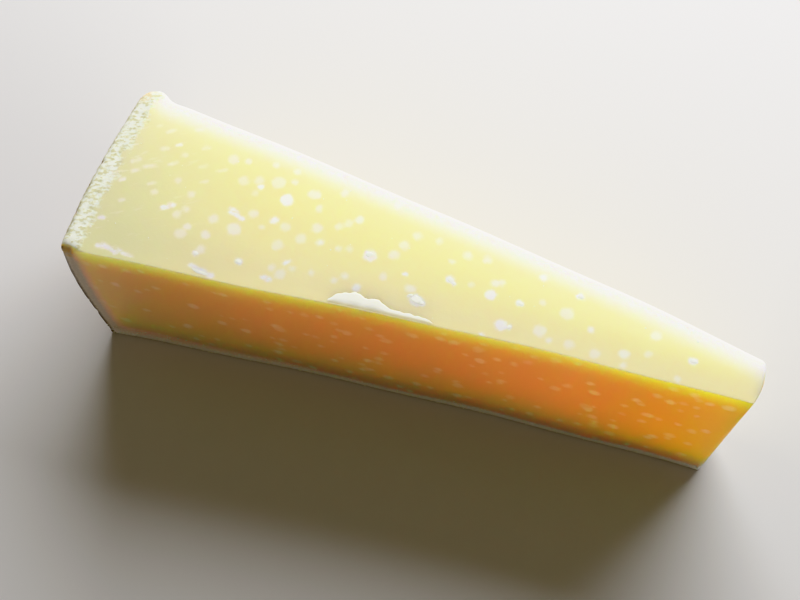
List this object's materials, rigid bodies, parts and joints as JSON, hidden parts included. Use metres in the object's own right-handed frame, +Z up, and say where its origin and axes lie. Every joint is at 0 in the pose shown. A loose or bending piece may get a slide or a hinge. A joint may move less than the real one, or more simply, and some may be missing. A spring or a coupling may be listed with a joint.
{
  "type": "hard cheese wedge",
  "caption": "Long wedge of aged hard cheese cut from a wheel, lying on its flat rind, with a rind end, two radial cuts, a flat cut top and a blunt cut tip.",
  "frame": {"origin": "on the flat rind face the wedge rests on, under the middle of its bounding box", "axes": "+X from the rind end to the cut tip along the middle of the wedge, +Y towards the back radial cut, +Z up out of the cut top"},
  "size_m": [0.1622, 0.048, 0.0509],
  "materials": {
    "cheese": "pale straw paste with off-white crystals, smooth knife-cut faces with a slight oily gleam, rough whitish rind with a thin brown skin"
  },
  "bodies": {
    "root": {"cheese_wedge": "cheese"}
  },
  "joints": []
}
